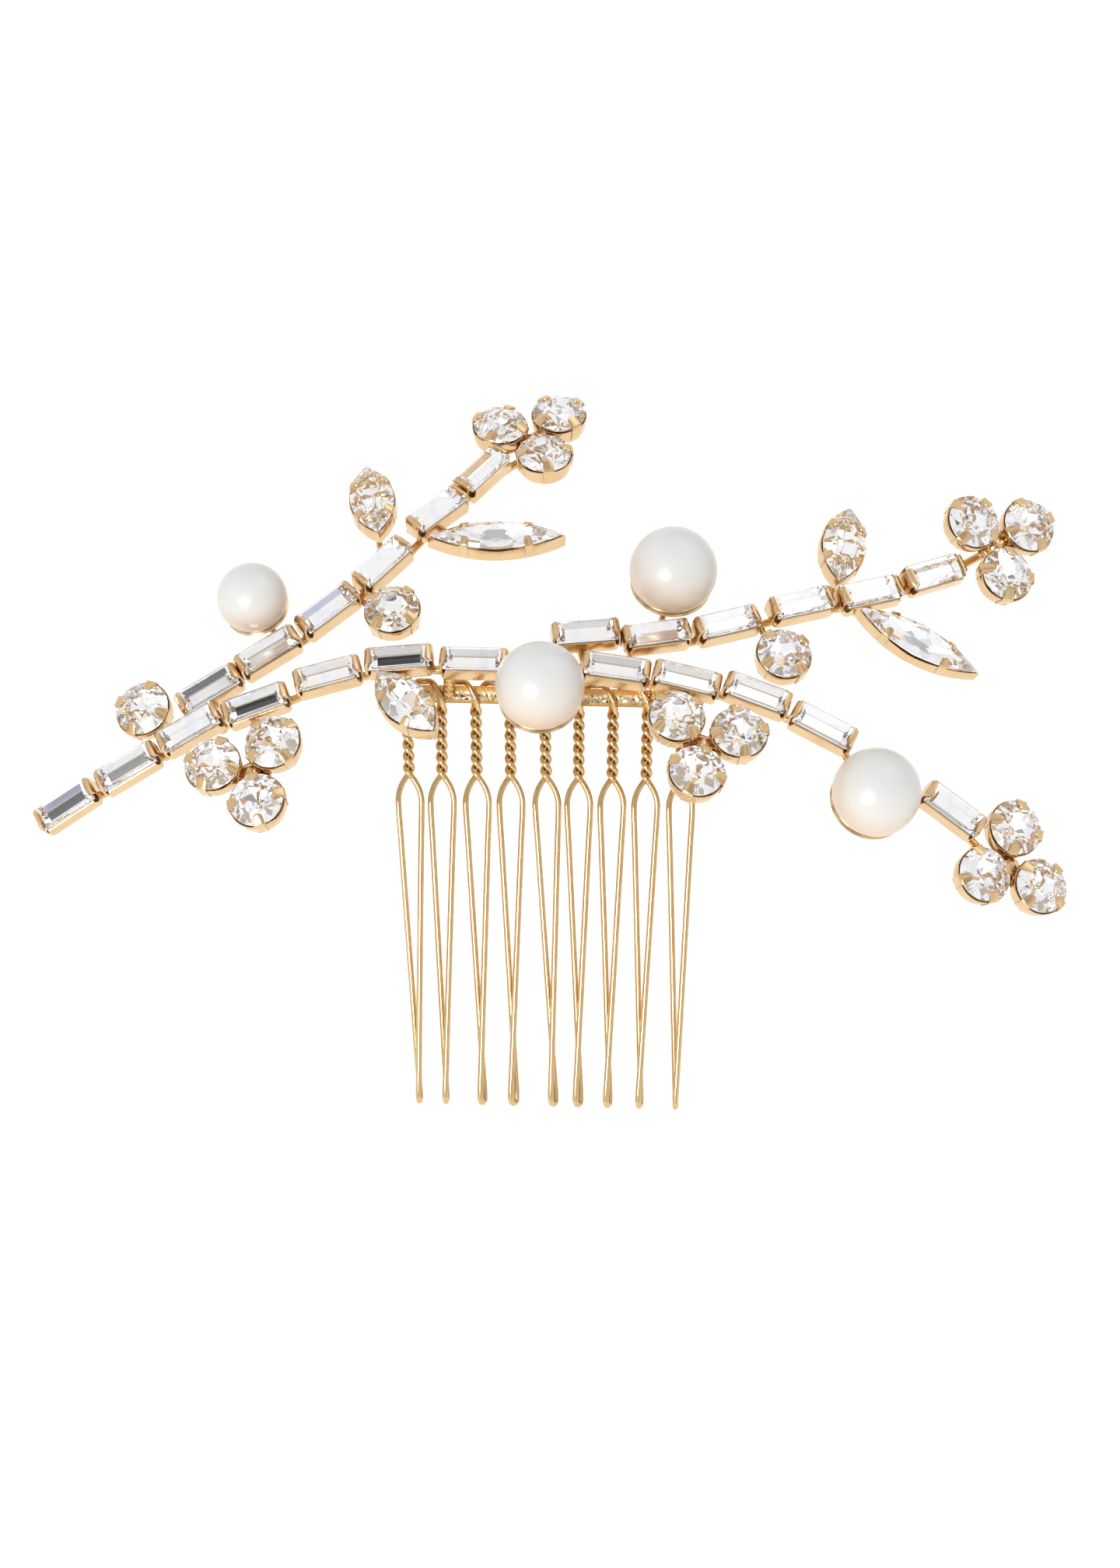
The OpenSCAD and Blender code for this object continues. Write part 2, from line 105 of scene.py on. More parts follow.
# %% Sprays, clusters, leaves and pearls
SPRAYS = {
    "main_left": [(-54, -13.5, 34), (-47, -9, 32), (-40, -4.5, 31), (-32.5, -1.5, 21),
                  (-24.5, 2, 16), (-16.5, 4, 6), (-8, 4, 0)],
    "main_right": [(8, 3.5, -7), (16, 2.5, -12), (24, 1, -19), (31.5, -2.5, -26),
                   (46.5, -11.5, -35)],
    "left_branch": [(-38, 0, 32), (-31.5, 4.5, 33), (-25, 9.5, 39), (-19, 15, 45),
                    (-13, 21.5, 39), (-8, 26.5, 46)],
    "right_branch": [(4.5, 7.5, 6), (12.5, 7.5, 9), (20.5, 9, 15), (29, 11.5, 14),
                     (37, 13, 14), (44.5, 15.5, 18)],
}
CLUSTERS = {"cluster_left": (-33, -9, 54), "cluster_middle": (18, -4.5, 15),
            "cluster_right": (53.5, -17.5, 80), "cluster_top": (-2, 31.5, 48),
            "cluster_upper": (52.5, 19.5, 29)}
ROUNDS = {"round_left": (-45.5, -2.5, 70), "round_upper": (-17.5, 9.5, 50),
          "round_right": (27, 5.5, 35)}
LEAVES = {"navette_low": (-15.5, -1, -44), "navette_left": (-20.5, 22.5, 103),
          "navette_right": (34, 18.5, 81)}
LONG_LEAVES = {"navette_long_left": (-6, 18.5, 2), "navette_long_right": (42.5, 7.5, -27)}
PEARLS = {"pearl_centre": ((-0.5, -0.5), 10), "pearl_right": ((36.5, -11), 10),
          "pearl_left": ((-33, 9.5), 8), "pearl_upper": ((14, 13), 10)}
CLUSTER_R, CLAW_TURN = 4.15, math.radians(-8)

def in_threes(x, z, angle):
    """Three places round a cluster's middle, each with a claw pointing outwards."""
    return [place(x, z) @ turn("Z", math.radians(angle + 120 * k)) @ shift(CLUSTER_R, 0, 0)
            @ turn("Z", CLAW_TURN) for k in range(3)]

print("settings:", sum(len(row) for row in SPRAYS.values()) + 3 * len(CLUSTERS)
      + len(ROUNDS) + len(LEAVES) + len(LONG_LEAVES) + len(PEARLS))

# %% [markdown]
# ## Tools for the materials
#
# A colour picked on a screen is an sRGB hex value, while a renderer adds up
# light in linear numbers, so one function converts. A second one adds a shader
# node with its settings and its links in one line. A setting that names a
# socket goes to that socket, and any other goes to the node itself. The rest
# are the few nodes that every material here is built from: a noise with patches
# of a given width, a change of range, a product, a mix of two colours, and a
# ramp of many.

# %% Colour and node helpers
def linear(hex_colour):
    channels = [int(hex_colour[i:i + 2], 16) / 255 for i in (1, 3, 5)]
    return tuple(c / 12.92 if c <= 0.04045 else ((c + 0.055) / 1.055) ** 2.4
                 for c in channels) + (1.0,)

def add_node(tree, kind, settings, links=()):
    node = tree.nodes.new(kind)
    for key, value in settings.items():
        if isinstance(key, int) or key in node.inputs:
            node.inputs[key].default_value = value
        else:
            setattr(node, key, value)
    for socket, source in dict(links).items():
        tree.links.new(source, node.inputs[socket])
    return node

def start_material(name, settings):
    material = bpy.data.materials.new(name)
    material.use_nodes = True
    tree = material.node_tree
    tree.nodes.clear()
    shader = add_node(tree, "ShaderNodeBsdfPrincipled", settings)
    add_node(tree, "ShaderNodeOutputMaterial", {}, {"Surface": shader.outputs["BSDF"]})
    where = add_node(tree, "ShaderNodeTexCoord", {}).outputs["Object"]
    return material, tree, shader, where

def patchy(tree, where, width_mm, detail):
    return add_node(tree, "ShaderNodeTexNoise", {"Scale": 1000 / width_mm, "Detail": detail},
                    {"Vector": where}).outputs["Fac"]

def remap(tree, value, low, high, start=0.0, stop=1.0):
    return add_node(tree, "ShaderNodeMapRange", {"From Min": start, "From Max": stop,
                    "To Min": low, "To Max": high}, {"Value": value}).outputs["Result"]

def mix(tree, share, first, second):
    """Mixes two colours, each a hex value or the output of another node."""
    settings, links = {"data_type": "RGBA"}, {0: share}
    for socket, colour in ((6, first), (7, second)):
        if isinstance(colour, str):
            settings[socket] = linear(colour)
        else:
            links[socket] = colour
    return add_node(tree, "ShaderNodeMix", settings, links).outputs[2]

def multiply(tree, first, second):
    return add_node(tree, "ShaderNodeMath", {"operation": "MULTIPLY"},
                    {0: first, 1: second}).outputs["Value"]

def ramp(tree, share, stops):
    node = add_node(tree, "ShaderNodeValToRGB", {}, {"Fac": share})
    elements = node.color_ramp.elements
    for spot, tint in stops:
        elements.new(spot).color = linear(tint)
    for unused in (elements[-1], elements[0]):
        elements.remove(unused)
    return node.outputs["Color"]

# %% [markdown]
# ## Plated gold
#
# The metal parts are brass, polished in a tumbler and plated with a very thin
# pale gold. A plated surface is a mirror with faults: tumbling leaves shallow
# waves about a millimetre wide, and handling leaves patches that are a little
# duller. Slow noise moves the colour and the roughness, and fine noise gives a
# shallow bump. Stamped settings are duller than drawn wire, and the rail was
# hammered flat by hand, so each gets its own numbers in the same recipe. The
# front of the rail is worn paler too, and its small pits get painted shade: dark
# spots that stand in for the shade in the hammered hollows.

# %% Gold finishes
def plated_gold(name, pale, deep, smoothest, dullest, wave_mm, wave_depth_mm):
    material, tree, shader, where = start_material(name, {"Metallic": 1.0})
    patches = patchy(tree, where, 2.5, 3.0)
    waves = patchy(tree, where, wave_mm, 2.0)
    bump = add_node(tree, "ShaderNodeBump", {"Strength": 1.0, "Distance": wave_depth_mm / 1000},
                    {"Height": waves})
    tree.links.new(mix(tree, patches, pale, deep), shader.inputs["Base Color"])
    tree.links.new(remap(tree, patches, smoothest, dullest, 0.3, 0.7), shader.inputs["Roughness"])
    tree.links.new(bump.outputs["Normal"], shader.inputs["Normal"])
    return material

def wear_and_shade_pits(material):
    """Wears the lower part of the rail's front paler and paints shade into its pits as dark spots.
    """
    tree = material.node_tree
    shader = next(node for node in tree.nodes if node.type == "BSDF_PRINCIPLED")
    where = add_node(tree, "ShaderNodeTexCoord", {}).outputs["Object"]
    axes = add_node(tree, "ShaderNodeSeparateXYZ", {}, {0: where})
    lower = remap(tree, axes.outputs["Z"], 0, 1, -0.0008, -0.0006)
    upper = remap(tree, axes.outputs["Z"], 0, 1, 0.0005, 0.0002)
    facing = remap(tree, axes.outputs["Y"], 0, 1, 0, -0.0002)
    band = multiply(tree, multiply(tree, lower, upper), facing)
    # Painted shade: dark brown spots in the pitted band stand in for the shade in the hammered
    # pits.
    pit_shade_spots = remap(tree, patchy(tree, where, 0.32, 3.0), 0, 1, 0.57, 0.64)
    plate = shader.inputs["Base Color"].links[0].from_socket
    worn = mix(tree, band, plate, "#E6CDA6")
    worn_with_painted_pit_shade = mix(tree, multiply(tree, band, pit_shade_spots), worn, "#4A3A22")
    tree.links.new(worn_with_painted_pit_shade, shader.inputs["Base Color"])

stamped_gold = plated_gold("plated brass, stamped", "#E2C7A0", "#CFAC7E", 0.14, 0.26, 0.8, 0.012)
drawn_gold = plated_gold("plated brass wire, drawn", "#D4BA90", "#C6A572", 0.1, 0.22, 1.2, 0.006)
hammered_gold = plated_gold("plated brass, hammered", "#F4C880", "#E4AA58", 0.16, 0.34, 0.35, 0.03)
wear_and_shade_pits(hammered_gold)
solder_gold = plated_gold("plated solder", "#E0C08C", "#CDA266", 0.2, 0.34, 0.5, 0.03)

# %% [markdown]
# ## Foil-backed crystal
#
# A fashion stone is machine-cut lead glass whose back is silvered like a mirror
# and then lacquered. That is why it flashes even in a closed setting: light goes
# through the top facets, bounces off the mirror at the back and comes out of
# another facet. So each stone is one closed mesh with two materials, clear glass
# on top and silver below. Crystal glass bends light more than window glass, with
# an index of refraction near 1.56, and its facets are polished almost perfectly.

# %% Crystal and its silver back
crystal, tree, shader, where = start_material("lead crystal, polished", {
    "Base Color": linear("#FDFDFF"), "Transmission Weight": 1.0, "IOR": 1.56})
wipes = patchy(tree, where, 1.5, 2.0)
tree.links.new(remap(tree, wipes, 0.0, 0.02), shader.inputs["Roughness"])

silvering, tree, shader, where = start_material("silvered back", {"Metallic": 1.0})
cloud = patchy(tree, where, 1.6, 1.0)
tone = ramp(tree, cloud, ((0.34, "#FCF8F0"), (0.46, "#FCFCFC"), (0.56, "#FAFAFB"),
                          (0.68, "#F3F3F8")))
tree.links.new(tone, shader.inputs["Base Color"])
tree.links.new(remap(tree, cloud, 0.02, 0.07), shader.inputs["Roughness"])

# %% [markdown]
# ## Imitation pearl
#
# An imitation pearl is a glass or plastic bead dipped many times in a lacquer
# full of tiny mica plates. The colour comes from below and the shine from
# several layers at once, which gives a wide soft highlight with a smaller one
# inside it. A base of middling roughness makes the first, and a coat the second.
# Its colour is painted shade and reflection: darker and warmer towards the dish,
# paler on the front. A pearl is made round its own centre and then set down in
# place, which lets its colour follow its height above the dish.

# %% Pearl lacquer
pearl, tree, shader, where = start_material("pearl lacquer on a bead", {
    "Coat Weight": 0.6, "Coat Roughness": 0.26, "Coat IOR": 1.5, "IOR": 1.55})
clouds = patchy(tree, where, 5, 4.0)
height = add_node(tree, "ShaderNodeAttribute", {"attribute_name": "height over the dish"})
rim_shade_and_clouds = add_node(tree, "ShaderNodeMath", {"operation": "MULTIPLY_ADD", 1: 0.12},
                  {0: clouds, 2: height.outputs["Fac"]})
# Painted shade and reflection: by height, the ramp runs from warm and darker near the dish to pale
# on the front.
lacquer = ramp(tree, rim_shade_and_clouds.outputs["Value"], ((0.4, "#C3A27C"), (0.6, "#CAB9A8"),
                                               (0.8, "#CFC9C2"), (0.98, "#CFD0CF")))
tree.links.new(lacquer, shader.inputs["Base Color"])
tree.links.new(remap(tree, clouds, 0.34, 0.42), shader.inputs["Roughness"])

# %% [markdown]
# ## Tools for the meshes
#
# Everything is modelled in millimetres, lying flat at the origin, the way a
# jeweller makes a part on the bench before soldering it on. A pattern piece is
# kept as a mesh and copied into each of its places. At the end a piece shrinks
# to metres and takes over from its CAD solid. Sharp edges are marked by angle,
# so that flats stay flat and rounded walls look round.

# %% Bench helpers
VERT, EDGE, FACE = bmesh.types.BMVert, bmesh.types.BMEdge, bmesh.types.BMFace

def only(kind, geometry):
    return [part for part in geometry if isinstance(part, kind)]

def into_scene(name, data):
    thing = bpy.data.objects.new(name, data)
    bpy.context.scene.collection.objects.link(thing)
    return thing

def to_pattern(bm, name):
    mesh = bpy.data.meshes.new(name)
    bm.to_mesh(mesh)
    bm.free()
    return mesh

def add_copy(bm, pattern, where_to):
    copy = pattern.copy()
    copy.transform(where_to)
    bm.from_mesh(copy)
    bpy.data.meshes.remove(copy)

def finish(bm, name, node, materials, sharp_angle=40):
    bmesh.ops.scale(bm, vec=(0.001, 0.001, 0.001), verts=bm.verts)
    mesh = to_pattern(bm, name)
    for material in materials:
        mesh.materials.append(material)
    mesh.shade_smooth()
    mesh.set_sharp_from_angle(angle=math.radians(sharp_angle))
    piece = into_scene(name, mesh)
    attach(piece, "root")
    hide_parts(node)
    print(f"{name}: {len(mesh.polygons)} faces")

def block(length, width, bottom=-2.5, top=2.5):
    """A rectangular blank, in millimetres."""
    bm = bmesh.new()
    bmesh.ops.create_cube(bm, size=1)
    bmesh.ops.scale(bm, vec=(length, width, top - bottom), verts=bm.verts)
    bmesh.ops.translate(bm, vec=(0, 0, (top + bottom) / 2), verts=bm.verts)
    return bm

def round_off(bm, edges, size, segments=4, clamp=False):
    bmesh.ops.bevel(bm, geom=edges, offset=size, affect="EDGES", segments=segments,
                    profile=0.5, material=-1, clamp_overlap=clamp)

def round_foot(bm, foot, size):
    """Rounds the lowest edges of a blank whose underside is at z = foot."""
    round_off(bm, [e for e in bm.edges if all(v.co.z < foot + 0.01 for v in e.verts)], size)

def soften(bm, size):
    """Rounds every sharp edge a little, as tumbling does."""
    sharp = [e for e in bm.edges if e.is_manifold and e.calc_face_angle() > math.radians(50)]
    round_off(bm, sharp, size, 2, True)

# %% [markdown]
# ## Cutting a stone
#
# A cutter starts with a plain blank and grinds one flat after another. The
# bisect operator does the same: it slices the mesh with a plane, throws away
# what is outside, and the open loop that is left is closed with one new face.
# A flat is given by the way it faces, how steeply, and one point it goes
# through. Because every flat is a plane, the facets meet in crisp straight lines.

# %% Grinding a flat
def grind(bm, azimuth, steepness, through):
    """Grinds a flat that faces an azimuth and tips down by a steepness, in degrees."""
    a, s = math.radians(azimuth), math.radians(steepness)
    normal = Vector((math.sin(s) * math.cos(a), math.sin(s) * math.sin(a), math.cos(s)))
    cut = bmesh.ops.bisect_plane(bm, geom=bm.verts[:] + bm.edges[:] + bm.faces[:], dist=0.002,
                                 plane_co=through, plane_no=normal, clear_outer=True)
    loop = only(EDGE, cut["geom_cut"])
    if loop:
        bmesh.ops.contextual_create(bm, geom=loop)

def silver_the_back(bm):
    """Gives every facet that faces back the second material, the mirror."""
    bmesh.ops.recalc_face_normals(bm, faces=bm.faces)
    for face in bm.faces:
        face.material_index = 1 if face.normal.z < -0.2 else 0

# %% [markdown]
# ## Baguette stones
#
# A baguette is 7 x 3 mm with a long flat table and one bevelled step round it.
# Its back is cut in long steps too: a steep one under the girdle, a gentle slope
# and a narrow flat along the middle. The slope and the flat show through the
# table as two long bands. Each mirrors another part of the room, so one is often
# light while the other is dark, and that is what gives this cut its look.

# %% Baguette pattern
BAGUETTE_L, BAGUETTE_W = 7.0, 3.0
GIRDLE, TABLE_H, BACK_H, BACK_FLAT = 0.12, 0.75, 0.85, 0.42
CROWN, STEEP, GENTLE = 42, 50, 25

bm = block(BAGUETTE_L, BAGUETTE_W)
grind(bm, 0, 0, (0, 0, TABLE_H))
grind(bm, 0, 180, (0, 0, -BACK_H))
for azimuth in (0, 90, 180, 270):
    reach = BAGUETTE_L / 2 if azimuth % 180 == 0 else BAGUETTE_W / 2
    a = math.radians(azimuth)
    outward = Vector((math.cos(a), math.sin(a), 0))
    grind(bm, azimuth, CROWN, reach * outward + Vector((0, 0, GIRDLE)))
    grind(bm, azimuth, 180 - STEEP, reach * outward - Vector((0, 0, GIRDLE)))
    flat_edge = (reach - BAGUETTE_W / 2 + BACK_FLAT) * outward
    grind(bm, azimuth, 180 - GENTLE, flat_edge - Vector((0, 0, BACK_H)))
silver_the_back(bm)
print("baguette facets:", len(bm.faces))
baguette_stone = to_pattern(bm, "baguette stone")

# %% [markdown]
# ## Round stones
#
# The round stones are 6.2 mm in a simple machine cut. Eight main facets slope
# from the girdle to the eight-sided table, and between every two of them a small
# star facet breaks the upper corner and another facet the lower one. The back
# has eight mains and eight narrow facets as well. Each group is a loop that
# grinds the same flat at the next angle, like the index wheel of a cutting bench.

# %% Round pattern
ROUND_R, TABLE_R, ROUND_TABLE_H = 3.1, 1.65, 1.1
MAIN, STAR, HALF = 34.6, 22, 39
BACK_MAIN, BACK_HALF = 36, 41

bm = bmesh.new()
bmesh.ops.create_cone(bm, cap_ends=True, segments=64, radius1=ROUND_R, radius2=ROUND_R, depth=5)
grind(bm, 0, 0, (0, 0, ROUND_TABLE_H))
for azimuth in range(0, 360, 45):
    a = math.radians(azimuth)
    main = Vector((ROUND_R * math.cos(a), ROUND_R * math.sin(a), 0))
    grind(bm, azimuth, MAIN, main + Vector((0, 0, 0.1)))
    grind(bm, azimuth, 180 - BACK_MAIN, main - Vector((0, 0, 0.1)))
    b = math.radians(azimuth + 22.5)
    star_r = TABLE_R * math.cos(math.radians(22.5))
    grind(bm, azimuth + 22.5, STAR, (star_r * math.cos(b), star_r * math.sin(b), ROUND_TABLE_H))
for azimuth in range(0, 360, 45):
    a = math.radians(azimuth + 22.5)
    half = ROUND_R * Vector((math.cos(a), math.sin(a), 0))
    grind(bm, azimuth + 22.5, HALF, half + Vector((0, 0, GIRDLE)))
    grind(bm, azimuth + 22.5, 180 - BACK_HALF, half - Vector((0, 0, GIRDLE)))
silver_the_back(bm)
print("round facets:", len(bm.faces))
round_stone = to_pattern(bm, "round stone")

# %% [markdown]
# ## Navette stones
#
# A navette is a pointed oval: two arcs that meet in two tips. Its facets fan out
# along each arc, so every flat is aimed from the middle of its own arc. The
# short ones are 10 x 5 mm and the long ones 15 x 4 mm. Both come from the same
# function, with the outline ground first and the facets after it.

# %% Navette patterns
OUTLINE_FLATS = 15
NAVETTE_TABLE_H = 1.05
# Places along each arc, steepness in front and behind, height in front and behind.
NAVETTE_ROWS = [((-0.78, -0.28, 0.28, 0.78), 36, 38, 0.12, 0.12),
                ((-0.52, 0, 0.52), 29, 31, 0.3, 0.32)]

def arc_of(length, width):
    """Radius of each side of a pointed oval, and half the angle that it spans."""
    radius = (length ** 2 + width ** 2) / (4 * width)
    return radius, math.degrees(math.asin(length / 2 / radius))

def on_arc(radius, width, side, phi, grow=0.0):
    """A point on one side, phi degrees along it from the middle, and the way it faces."""
    azimuth = side * (90 - phi)
    a = math.radians(azimuth)
    middle = Vector((0, side * (width / 2 - radius), 0))
    return azimuth, middle + (radius + grow) * Vector((math.cos(a), math.sin(a), 0))

def grind_outline(bm, length, width, grow=0.0):
    radius, span = arc_of(length, width)
    for side in (1, -1):
        for i in range(OUTLINE_FLATS):
            phi = span * (2 * (i + 0.5) / OUTLINE_FLATS - 1)
            azimuth, point = on_arc(radius, width, side, phi, grow)
            grind(bm, azimuth, 90, point)

def cut_navette(length, width, name):
    radius, span = arc_of(length, width)
    bm = block(length * 1.2, width * 1.2)
    grind_outline(bm, length, width)
    grind(bm, 0, 0, (0, 0, NAVETTE_TABLE_H))
    for side in (1, -1):
        for shares, crown, back, rise, sink in NAVETTE_ROWS:
            for share in shares:
                azimuth, point = on_arc(radius, width, side, span * share)
                grind(bm, azimuth, crown, point + Vector((0, 0, rise)))
                grind(bm, azimuth, 180 - back, point - Vector((0, 0, sink)))
    silver_the_back(bm)
    print(name, "facets:", len(bm.faces))
    return to_pattern(bm, name)

LEAF, LONG_LEAF = (10, 5), (15, 4)
navette_stone = cut_navette(*LEAF, "navette stone")
long_navette_stone = cut_navette(*LONG_LEAF, "long navette stone")

# %% [markdown]
# ## Hollowing a setting
#
# A setting is stamped from thin sheet, but it is easier to start from a solid
# blank of the outer shape. The top face is inset by the thickness of the wall
# and the inner face is sunk to the floor, which leaves a wall of even thickness
# all round. In a blank that narrows towards its foot, the hollow narrows too.
# Claws and tabs are strips of the same sheet. A strip rises, is spun round an
# axis at its top to fold it over the stone, and runs on to a round tip.

# %% Hollow and claw tools
WALL, FLOOR_T, PLAY = 0.15, 0.4, 0.05

def hollow(bm, blank_h, draw=0):
    """Sinks the top face to the floor, where the hollow is narrower by a share, draw."""
    top = max(bm.faces, key=lambda f: f.calc_center_median().z)
    bmesh.ops.inset_region(bm, faces=[top], thickness=WALL, use_even_offset=True)
    sunk = only(VERT, bmesh.ops.extrude_face_region(bm, geom=[top])["geom"])
    bmesh.ops.translate(bm, vec=(0, 0, FLOOR_T - blank_h), verts=sunk)
    bmesh.ops.scale(bm, vec=(1 - draw, 1 - draw, 1), verts=sunk)
    if top.is_valid:
        bm.faces.remove(top)

def claw(name, width, tip_width, thickness, foot, top, inner_r, fold, reach):
    """A strip that stands with its inner face at x = 0 and is folded towards -x.

    It runs from a foot height to a top height, turns there by fold degrees, and
    reaches on in a straight line to its tip. The inner radius is that of the fold.
    """
    bm = bmesh.new()
    bmesh.ops.create_grid(bm, x_segments=1, y_segments=1, size=0.5)
    bmesh.ops.scale(bm, vec=(thickness, width, 1), verts=bm.verts)
    bmesh.ops.translate(bm, vec=(thickness / 2, 0, foot), verts=bm.verts)
    risen = bmesh.ops.extrude_face_region(bm, geom=bm.faces[:])["geom"]
    bmesh.ops.translate(bm, vec=(0, 0, top - foot), verts=only(VERT, risen))
    angle = math.radians(fold)
    spun = bmesh.ops.spin(bm, geom=only(FACE, risen), cent=(-inner_r, 0, top), axis=(0, -1, 0),
                          dvec=(0, 0, 0), angle=angle, steps=6, use_merge=False,
                          use_duplicate=False)["geom_last"]
    tips = only(VERT, bmesh.ops.extrude_face_region(bm, geom=only(FACE, spun))["geom"])
    bmesh.ops.translate(bm, vec=(-reach * math.sin(angle), 0, reach * math.cos(angle)), verts=tips)
    bmesh.ops.scale(bm, vec=(1, tip_width / width, 1), verts=tips)
    corners = [e for e in bm.edges if e.verts[0] in tips and e.verts[1] in tips
               and abs(e.verts[0].co.y - e.verts[1].co.y) < 0.001]
    round_off(bm, corners, tip_width * 0.46, 5)
    bmesh.ops.recalc_face_normals(bm, faces=bm.faces)
    soften(bm, thickness * 0.25)
    return to_pattern(bm, name)

# %% [markdown]
# ## Baguette trays
#
# A tray is a little boat: straight sides, rounded ends, and at each end a thick
# tab that curls over the stone. The sheet is cut away beside each tab so that it
# can bend, which leaves a dark gap at each corner. The rim of the sides stands
# just under the widest line of the stone.

# %% Tray pattern
TRAY_H, RIM = 2.3, -0.22
CORNER_R, GAP_L, GAP_H = 0.55, 0.5, 0.75
tray_l = BAGUETTE_L + 2 * (PLAY + WALL)
tray_w = BAGUETTE_W + 2 * (PLAY + WALL)

bm = block(tray_l, tray_w, -TRAY_H, RIM)
round_off(bm, [e for e in bm.edges if abs(e.verts[0].co.z - e.verts[1].co.z) > 1], CORNER_R)
round_foot(bm, -TRAY_H, 0.6)
hollow(bm, TRAY_H + RIM)
for v in bm.verts:
    if v.co.z > RIM - 0.01 and abs(v.co.x) > tray_l / 2 - GAP_L:
        v.co.z -= GAP_H
soften(bm, 0.05)
print("tray faces:", len(bm.faces))
tray_box = to_pattern(bm, "tray box")
tray_tab = claw("tray tab", 2.1, 1.6, 0.42, -1.7, 0.0, 0.4, 74, 0.2)

bm = bmesh.new()
add_copy(bm, tray_box, Matrix.Identity(4))
for end in (0, math.pi):
    add_copy(bm, tray_tab, turn("Z", end) @ shift(tray_l / 2 - 0.2, 0, 0))
tray = to_pattern(bm, "tray")

# %% [markdown]
# ## Round cups
#
# A round cup is stamped as a bowl with four claws, and it narrows a little
# towards its foot. Between the claws its rim dips in a shallow scallop, which
# shows more of the stone. The claws start low on the wall, lean out with it and
# fold over the crown.

# %% Round cup pattern
CUP_H, CUP_RIM, CUP_DRAW, SCALLOP = 2.6, -0.18, 0.3, 0.15
cup_r = ROUND_R + PLAY + WALL

bm = bmesh.new()
bmesh.ops.create_cone(bm, cap_ends=True, segments=64, radius1=cup_r - CUP_DRAW, radius2=cup_r,
                      depth=CUP_H + CUP_RIM)
bmesh.ops.translate(bm, vec=(0, 0, (CUP_RIM - CUP_H) / 2), verts=bm.verts)
round_foot(bm, -CUP_H, 0.8)
hollow(bm, CUP_H + CUP_RIM, CUP_DRAW / cup_r)
for v in bm.verts:
    if v.co.z > CUP_RIM - 0.01:
        v.co.z -= SCALLOP * (0.5 - 0.5 * math.cos(4 * math.atan2(v.co.y, v.co.x)))
soften(bm, 0.05)
cup_bowl = to_pattern(bm, "cup bowl")
cup_claw = claw("cup claw", 1.3, 0.9, 0.26, -1.9, 0.02, 0.16, 67, 1.2)

bm = bmesh.new()
add_copy(bm, cup_bowl, Matrix.Identity(4))
for k in range(4):
    add_copy(bm, cup_claw, turn("Z", math.pi / 2 * k) @ shift(cup_r - 0.16, 0, 0)
             @ turn("Y", math.atan(CUP_DRAW / CUP_H)))
print("round cup faces:", len(bm.faces))
round_cup = to_pattern(bm, "round cup")

# %% [markdown]
# ## Navette cups
#
# The pointed cups are made like the round ones, from a blank ground to the
# outline of the stone and a wall more. Their four narrow claws stand in pairs,
# some way in from the two tips.

# %% Navette cup patterns
slim_claw = claw("navette claw", 1.0, 0.8, 0.26, -1.8, 0.02, 0.16, 54, 0.95)

def make_navette_cup(length, width, claw_x, name):
    radius, span = arc_of(length, width)
    bm = block(length * 1.3, width * 1.3, -TRAY_H, RIM)
    grind_outline(bm, length, width, PLAY + WALL)
    bmesh.ops.recalc_face_normals(bm, faces=bm.faces)
    round_foot(bm, -TRAY_H, 0.5)
    hollow(bm, TRAY_H + RIM)
    for v in bm.verts:
        if v.co.z > RIM - 0.01:
            v.co.z -= 0.3 * math.exp(-(v.co.x / (claw_x * 0.55)) ** 2)
    soften(bm, 0.04)
    tilt = math.asin(claw_x / radius)
    for half in (0, math.pi):
        for side in (-1, 1):
            add_copy(bm, slim_claw, turn("Z", half) @ shift(0, width / 2 - radius, 0)
                     @ turn("Z", math.pi / 2 + side * tilt)
                     @ shift(radius + PLAY + WALL - 0.2, 0, 0))
    print(name, "faces:", len(bm.faces))
    return to_pattern(bm, name)

navette_cup = make_navette_cup(*LEAF, 2.4, "navette cup")
long_navette_cup = make_navette_cup(*LONG_LEAF, 3.7, "long navette cup")

# %% [markdown]
# ## Setting the stones
#
# Now the patterns go to their places. One piece stands for each CAD node: all
# the trays of a spray are one piece, and all its stones another. Under each
# cluster a small plate joins the three cups, and a bead of solder fills the
# corner between them, where the silver solder has crept up from behind.

# %% Stones and settings
def solder_bead(bm, at, size, squash, seed):
    """A lumpy drop of solder at a point, in millimetres."""
    drop = bmesh.ops.create_icosphere(bm, subdivisions=3, radius=size)["verts"]
    for v in drop:
        v.co *= 1 + 0.12 * noise.noise(v.co * 1.7 / size + Vector((seed, 0, 0)))
        v.co.z *= squash
    bmesh.ops.transform(bm, matrix=at, verts=drop)

def set_stones(name, setting_kind, stone_kind, places, setting, stone, beads=()):
    """Puts a setting and a stone in each place, and joins the settings with solder."""
    settings, stones = bmesh.new(), bmesh.new()
    for where_to in places:
        add_copy(settings, setting, where_to)
        add_copy(stones, stone, where_to)
    for bead in beads:
        solder_bead(settings, *bead)
    node = f"{name}_{setting_kind}"
    finish(settings, node + "_made", node, [stamped_gold])
    node = f"{name}_{stone_kind}"
    finish(stones, node + "_made", node, [crystal, silvering], 1)

for name, row in SPRAYS.items():
    set_stones(name, "trays", "stones", [place(*spot) for spot in row], tray, baguette_stone)

for name, (x, z, angle) in CLUSTERS.items():
    corner = (place(x, z) @ shift(0, 0, -1.82), 1.25, 0.8, x)
    plate = (place(x, z) @ shift(0, 0, -2.68), 2.1, 0.12, z)
    set_stones(name, "cups", "stones", in_threes(x, z, angle), round_cup, round_stone,
               [corner, plate])

for group, cup, stone in ((ROUNDS, round_cup, round_stone), (LEAVES, navette_cup, navette_stone),
                          (LONG_LEAVES, long_navette_cup, long_navette_stone)):
    for name, spot in group.items():
        set_stones(name, "cup", "stone", [place(*spot)], cup, stone)

